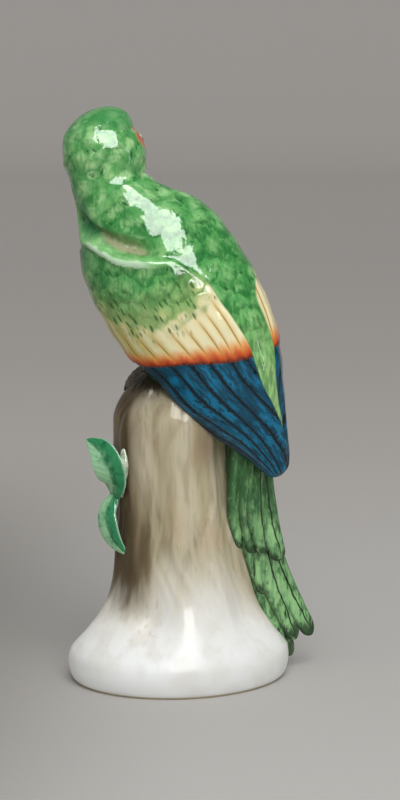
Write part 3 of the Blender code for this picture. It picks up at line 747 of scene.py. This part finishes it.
def blade(path, widths, thicknesses, facing, cup=0.0, sides=48, rings=90, rounding=0.05, relief=None):
    """Rings of a flat tapering shape, and each point's place across, along and in front."""
    t = 0.5 - 0.5 * np.cos(np.linspace(0.02, 0.985, rings) * math.pi)
    centre = curve(path, t)
    width, thickness = curve(widths, t), curve(thicknesses, t)
    end = np.sqrt(np.clip(1 - np.clip((t - 1 + rounding) / rounding, 0, 1) ** 2, 0.002, 1))
    width, thickness = width * end, thickness * (0.4 + 0.6 * end)
    _, across, outward = frames(centre, facing)
    angle = np.linspace(0, 2 * math.pi, sides, endpoint=False)
    u = np.cos(angle)[None] * np.ones_like(t)[:, None]
    v = np.sin(angle)[None] * np.ones_like(t)[:, None]
    rise = v * thickness[:, None] / 2 - cup * u ** 2 * width[:, None] / 2
    if relief is not None:
        rise = rise + relief(u, t[:, None] * np.ones_like(u)) * np.clip(v, 0, 1)
    rings = (centre[:, None] + across[:, None] * (u * width[:, None] / 2)[..., None]
             + outward[:, None] * rise[..., None])
    return rings, {"vane": np.stack([u, t[:, None] * np.ones_like(u), v], axis=-1)}


def quill(u, t):
    """A raised shaft with a groove on each side of it, fading towards the tip."""
    shaft = 0.00018 * hump(u, 0, 0.16) - 0.00010 * hump(np.abs(u), 0.45, 0.16)
    return shaft * smoothstep(1.0, 0.85, t)


root = curve(BODY_LINE, 0.80)[0] * BODY_LENGTH + STAND + np.array(TAIL_ROOT_SHIFT)
tail_drop = root[2] - TAIL_TIP_HEIGHT
tail_out = unit(TAIL_FACING)
tail_beside = unit((-TAIL_FACING[1], TAIL_FACING[0], 0.0))
tail_paint, place = new_paint("painted_tail")
across, down, _ = read_mark(place, "vane")
_, _, z = place.parts()
brush = place.stretched(1.0, 1.0, 0.12).noise(1.1, 3.0, 0.6)
cloud = place.noise(5.0, 2.0)
low_part = z.step(56.0, 34.0)
colour = place.colour(58, 110, 58).mix(tint(138, 190, 130), low_part * 0.95)
colour = colour.mix(tint(168, 216, 152), brush.step(0.48, 0.66) * (0.30 + low_part * 0.60))
colour = colour.mix(tint(32, 76, 36), brush.step(0.48, 0.34) * 0.75)
colour = colour.mix(tint(42, 96, 50), cloud.step(0.5, 0.35) * (0.65 - low_part * 0.3))
colour = colour.mix(tint(160, 212, 140), down.near(0.82, 0.16) * abs(across).step(0.7, 0.2) * 0.55)
colour = colour.mix(tint(24, 52, 24), (abs(across) + (brush - 0.5) * 0.9).step(0.70, 1.0) * 0.68)
dark_tip = (down + (brush - 0.5) * 0.12 + abs(across) * 0.03).step(0.93, 0.97)
colour = colour.mix(tint(20, 40, 18), dark_tip * 0.85)
mottle = place.stretched(1.0, 1.0, 0.5).noise(2.0, 3.0, 0.6)
colour = colour.mix(tint(34, 80, 40), mottle.step(0.48, 0.38) * 0.6)
colour = colour.mix(tint(158, 208, 142), mottle.step(0.56, 0.68) * (0.2 + low_part * 0.3))
ink = abs(across + (cloud - 0.5) * 0.5 - 0.1).step(0.13, 0.05)
ink = ink * down.step(0.20, 0.35) * down.step(0.99, 0.93)
ink = ink.most(brush.step(0.40, 0.33) * down.near(0.86, 0.14) * 0.9)
colour = colour.mix(tint(10, 22, 10), ink * 0.9)
glaze(tail_paint, place, colour)
for number, (end_x, end_y, end_z, bow, spot, lift) in enumerate(TAIL_FEATHERS):
    end = np.array([end_x, end_y, end_z]) * tail_drop
    sag = np.array([-bow, -bow * 0.4, 0.0]) * tail_drop
    base = root + tail_out * lift * TAIL_FEATHER_THICKNESS + tail_beside * spot * TAIL_FEATHER_WIDTH
    end = end - (base - root) * np.array([1.0, 1.0, 0.0])
    path = [base, base + end * 0.34 + sag * 0.75, base + end * 0.68 + sag * 0.80, base + end]
    width = np.array([0.90, 0.95, 1.00, 0.62]) * TAIL_FEATHER_WIDTH
    depth = np.array([1.00, 1.00, 0.85, 0.45]) * TAIL_FEATHER_THICKNESS
    feather = skin(f"tail_feather_{number}", *blade(path, width, depth, TAIL_FACING, relief=quill))
    feather.data.materials.append(tail_paint)

# Face. A short hooked beak in two halves, and glossy black eyes set in raised lids, all
# modelled on the head before firing and painted under the same glaze.
BEAK_LENGTH = 0.0074
BEAK_WIDTH = 0.0070
up = np.array([0.0, 0.0, 1.0])
bill = head_centre + FACE * (HEAD_DEPTH / 2 - BEAK_LENGTH * 0.35)
upper = [bill + up * BEAK_LENGTH * 0.10,
         bill + FACE * BEAK_LENGTH * 0.46 + up * BEAK_LENGTH * 0.06,
         bill + FACE * BEAK_LENGTH * 0.78 - up * BEAK_LENGTH * 0.22,
         bill + FACE * BEAK_LENGTH * 0.80 - up * BEAK_LENGTH * 0.75]
lower = [bill - up * BEAK_LENGTH * 0.36,
         bill + FACE * BEAK_LENGTH * 0.34 - up * BEAK_LENGTH * 0.42,
         bill + FACE * BEAK_LENGTH * 0.60 - up * BEAK_LENGTH * 0.60]
horn_paint, place = new_paint("painted_horn")
across, down, _ = read_mark(place, "vane")
mottle = place.noise(0.9, 3.0)
colour = place.colour(214, 176, 128).mix(tint(232, 206, 166), mottle.step(0.45, 0.7) * 0.6)
colour = colour.mix(tint(120, 84, 56), down.step(0.55, 0.95) * 0.85)
colour = colour.mix(tint(96, 66, 46), abs(across).step(0.6, 1.0) * 0.5)
glaze(horn_paint, place, colour)
wide = np.array([1.05, 1.00, 0.66, 0.20]) * BEAK_WIDTH
deep = np.array([0.95, 0.88, 0.62, 0.18]) * BEAK_LENGTH
small = np.array([0.74, 0.66, 0.30]) * BEAK_WIDTH
beak = skin("beak_upper", *blade(upper, wide, deep, FACE + up, rounding=0.08))
beak.data.materials.append(horn_paint)
beak = skin("beak_lower", *blade(lower, small, small * 0.8, FACE + up, rounding=0.10))
beak.data.materials.append(horn_paint)

eye_paint, place = new_paint("painted_eye")
distance, _, _ = read_mark(place, "ring")
colour = place.colour(16, 13, 12).mix(tint(176, 96, 40), distance.step(1.05, 1.15) * 0.9)
colour = colour.mix(tint(24, 18, 15), distance.step(1.52, 1.60))
colour = colour.mix(tint(226, 214, 188), distance.step(1.80, 1.95) + place.noise(0.8) * 0.05)
glaze(eye_paint, place, colour)
# Rows of millimetres out from the head's side and of radius
LID_PROFILE = ((-1.0, 2.10), (-0.2, 2.20), (0.25, 2.10), (0.42, 1.88), (0.36, 1.68), (0.62, 1.40),
               (0.90, 1.02), (1.06, 0.55), (1.10, 0.06))
LID_RINGS = 46
LID_SIDES = 60
profile = curve(LID_PROFILE, np.linspace(0, 1, LID_RINGS)) / 1000
turn = np.linspace(0, 2 * math.pi, LID_SIDES, endpoint=False)
for number, eye in enumerate(EYES):
    outward = unit(eye - head_centre)
    level = unit(np.cross(outward, up))
    upright = np.cross(level, outward)
    circle = level * np.cos(turn)[:, None] + upright * np.sin(turn)[:, None] * 0.92
    rings = eye + outward * profile[:, :1, None] + circle[None] * profile[:, 1:, None]
    ring_marks = np.repeat(profile[:, None, 1:] * 1000, LID_SIDES, axis=1)
    ring_marks = ring_marks * np.array([1.0, 0.0, 0.0])
    piece = skin(f"eye_{number}", rings, {"ring": ring_marks})
    piece.data.materials.append(eye_paint)

# Legs. Feathered thighs, and three grey toes on each foot that grip the stump's rim,
# stuck to the stump with slip before firing.
THIGH_WIDTH = 0.0125
TOE_DROP = 0.0072
TOE_THICKNESS = 0.0028
BREAST_ANGLE = 130
FOOT_TURN = 25
TOE_FANS = (-14, 0, 14)


def on_stump(height, angle_deg, proud=0.0):
    """A point on the stump's surface, or proud of it by some metres."""
    angle = math.radians(angle_deg)
    x, y = stump_centre(height)
    radius = float(stump_radius(height, np.array([angle]))[0]) + proud
    return np.array([x + radius * math.cos(angle), y + radius * math.sin(angle), height])


def scutes(u, t):
    """Low rings across a toe."""
    return 0.00010 * np.sin(t * 46) * smoothstep(1.0, 0.8, t)


thigh_paint, place = new_paint("painted_thigh")
dab = place.stretched(1.0, 1.0, 0.6).noise(1.6, 3.0, 0.6)
colour = place.colour(96, 156, 88).mix(tint(168, 196, 112), dab.step(0.50, 0.68) * 0.7)
colour = colour.mix(tint(44, 92, 46), dab.step(0.48, 0.34) * 0.7)
glaze(thigh_paint, place, colour)
toe_paint, place = new_paint("painted_toe")
across, down, _ = read_mark(place, "vane")
mottle = place.noise(0.8, 3.0)
colour = place.colour(132, 122, 108).mix(tint(168, 156, 140), mottle.step(0.45, 0.7) * 0.7)
colour = colour.mix(tint(70, 62, 52), abs(across).step(0.5, 1.0) * 0.6)
colour = colour.mix(tint(34, 30, 26), down.step(0.80, 0.88))
glaze(toe_paint, place, colour)
back = -np.array([math.cos(math.radians(BREAST_ANGLE)), math.sin(math.radians(BREAST_ANGLE)), 0.0])
for foot_number, hand in enumerate((1, -1)):
    heading = BREAST_ANGLE + hand * FOOT_TURN
    foot = on_stump(STUMP_HEIGHT * 0.992, heading)
    rise = np.array([0.0, 0.0, THIGH_WIDTH])
    path = [foot + rise * 1.45 + back * THIGH_WIDTH * 0.55,
            foot + rise * 0.95 + back * THIGH_WIDTH * 0.40,
            foot + rise * 0.45 + back * THIGH_WIDTH * 0.12,
            foot]
    widths = np.array([0.85, 1.00, 0.74, 0.36]) * THIGH_WIDTH
    thigh = skin(f"thigh_{foot_number}", *blade(path, widths, widths, -back, rounding=0.03))
    thigh.data.materials.append(thigh_paint)
    for toe_number, fan in enumerate(TOE_FANS):
        proud = TOE_THICKNESS * 0.12
        turned = heading + fan
        path = [on_stump(STUMP_HEIGHT * 0.990, heading + 0.9 * fan, -TOE_THICKNESS * 0.5),
                on_stump(STUMP_HEIGHT - TOE_DROP * 0.22, heading + 0.8 * fan, proud),
                on_stump(STUMP_HEIGHT - TOE_DROP * 0.62, turned, proud),
                on_stump(STUMP_HEIGHT - TOE_DROP, turned, -proud * 0.5)]
        widths = np.array([1.0, 0.95, 0.85, 0.32]) * TOE_THICKNESS
        rings = blade(path, widths, widths, up * 0.7 - back * 0.7, sides=32, rings=60, relief=scutes)
        toe = skin(f"toe_{foot_number}_{toe_number}", *rings)
        toe.data.materials.append(toe_paint)

# Leaves. Two cupped leaves of porcelain, modelled by hand and stuck to the stump's side
# before firing, with a small stub beside the upper one, painted almost white.
LEAF_LENGTH = 0.0190
LEAF_WIDTH = 0.0098
LEAF_THICKNESS = 0.0020
LEAF_HEIGHT = 0.0520
LEAF_ANGLE = 203


def veins(u, t):
    """A sunk middle vein with shallow side veins that slant towards the tip."""
    slant = np.cos((t * 9 - np.abs(u) * 2.2) * 2 * math.pi)
    side_veins = 0.00010 * slant * (1 - hump(u, 0, 0.25)) * smoothstep(1, 0.85, t)
    return -0.00035 * hump(u, 0, 0.13) + side_veins


leaf_paint, place = new_paint("painted_leaf")
across, down, front = read_mark(place, "vane")
dab = place.noise(2.4, 3.0, 0.6)
fine = place.noise(0.8, 2.0, 0.6)
pale_half = (across + (dab - 0.5) * 1.1).step(-0.35, 0.45)
colour = place.colour(58, 148, 98).mix(tint(34, 106, 66), dab.step(0.56, 0.30) * 0.75)
colour = colour.mix(tint(156, 204, 160), pale_half)
colour = colour.mix(tint(84, 158, 108), pale_half * dab.step(0.48, 0.36) * 0.75)
colour = colour.mix(tint(30, 88, 52), abs(across).step(0.13, 0.02) * fine.step(0.36, 0.56) * 0.55)
colour = colour.mix(tint(206, 232, 208), abs(across).step(0.88, 1.0) * 0.55)
colour = colour.mix(tint(36, 74, 48), front.step(-0.1, -0.5) * 0.5)
glaze(leaf_paint, place, colour, ripple=1.4)
# Rows of x, y and z from the joint in leaf lengths, and of width in leaf widths
UPPER_LINE = ((0.00, 0.00, 0.00), (-0.01, -0.15, 0.24), (-0.08, -0.17, 0.47), (-0.21, -0.09, 0.68),
              (-0.43, 0.10, 0.83))
UPPER_WIDTHS = (0.34, 0.88, 0.98, 0.80, 0.14)
LOWER_LINE = ((0.02, 0.00, 0.06), (-0.11, -0.05, -0.20), (-0.095, -0.12, -0.42), (0.00, -0.19, -0.63),
              (0.163, -0.26, -0.82))
LOWER_WIDTHS = (0.28, 0.62, 0.76, 0.56, 0.10)
joint = on_stump(LEAF_HEIGHT, LEAF_ANGLE, LEAF_THICKNESS * 0.3)
depth = np.array([0.9, 1.1, 1.1, 0.9, 0.45]) * LEAF_THICKNESS
upper_path = joint + np.array(UPPER_LINE) * LEAF_LENGTH
rings, marks = blade(upper_path, np.array(UPPER_WIDTHS) * LEAF_WIDTH, depth,
                     (-0.55, -0.80, 0.25), cup=-0.20, relief=veins)
leaf = skin("leaf_upper", rings, marks)
leaf.data.materials.append(leaf_paint)
lower_path = joint + np.array(LOWER_LINE) * LEAF_LENGTH
rings, marks = blade(lower_path, np.array(LOWER_WIDTHS) * LEAF_WIDTH, depth,
                     (-0.62, -0.75, -0.15), cup=-0.14, relief=veins)
marks["vane"] = marks["vane"] * np.array([-1.0, 1.0, 1.0])
leaf = skin("leaf_lower", rings, marks)
leaf.data.materials.append(leaf_paint)
# A small stub beside the upper leaf, painted almost white
# Its rows are height in leaf lengths, degrees round, and how proud in leaf thicknesses
STUB_LINE = ((0.02, 8, -0.2), (0.28, 15, 0.25), (0.52, 19, 0.35), (0.74, 16, -0.1))
stub_path = [on_stump(LEAF_HEIGHT + LEAF_LENGTH * share, LEAF_ANGLE + turn, LEAF_THICKNESS * proud)
             for share, turn, proud in STUB_LINE]
rings, marks = blade(stub_path, np.array([0.20, 0.34, 0.34, 0.16]) * LEAF_WIDTH,
                     np.array([0.9, 1.0, 1.0, 0.6]) * LEAF_THICKNESS, (-0.60, -0.80, 0.0))
stub = skin("leaf_stub", rings, marks)
stub_paint, place = new_paint("painted_stub")
smear = place.noise(2.0, 2.0)
colour = place.colour(206, 214, 194).mix(tint(150, 168, 134), smear.step(0.50, 0.36) * 0.8)
glaze(stub_paint, place, colour.mix(tint(238, 240, 230), smear.step(0.52, 0.66) * 0.7))
stub.data.materials.append(stub_paint)
